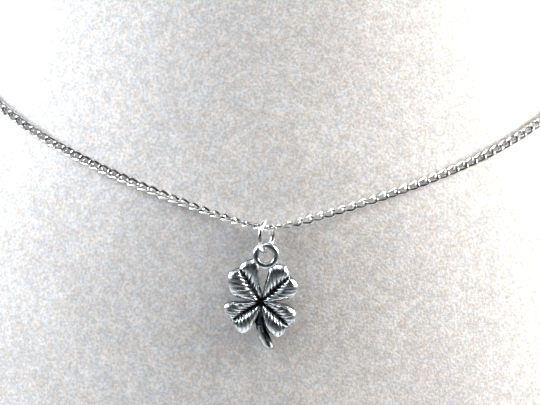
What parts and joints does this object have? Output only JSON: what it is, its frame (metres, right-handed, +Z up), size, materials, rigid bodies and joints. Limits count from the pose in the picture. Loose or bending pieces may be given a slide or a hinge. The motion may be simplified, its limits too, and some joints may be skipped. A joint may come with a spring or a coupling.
{
  "type": "four leaf clover pendant necklace on neck bust",
  "caption": "Fine silver curb chain necklace with a cast four leaf clover charm on a jump ring, worn on a plain velvet neck bust that stands by itself.",
  "frame": {"origin": "middle of the underside of the whole part, where the bust stands", "axes": "+Z up, -Y the front of the bust, +X to the right as seen from the front"},
  "size_m": [0.1678, 0.11, 0.235],
  "materials": {
    "velvet": "pale warm grey velvet with a fine mottled nap",
    "bright_silver": "bright polished silver",
    "ring_silver": "bright polished silver wire",
    "antique_silver": "antique silver, black in the recesses and worn bright on the veins and rims"
  },
  "bodies": {
    "root": {"bust": "velvet", "chain": "bright_silver", "clasp": "bright_silver"},
    "ring": {"jump_ring": "ring_silver"},
    "charm": {"clover_charm": "antique_silver"}
  },
  "joints": [
    {"name": "pendant_swing", "type": "hinge", "parent": "root", "child": "ring", "pos_m": [0, -0.05248, 0.09902], "axis": [-1, 0, 0], "range_deg": [0, 75]},
    {"name": "charm_sway", "type": "hinge", "parent": "ring", "child": "charm", "pos_m": [0, -0.05248, 0.09587], "axis": [0, 1, 0], "range_deg": [-25, 25]}
  ]
}
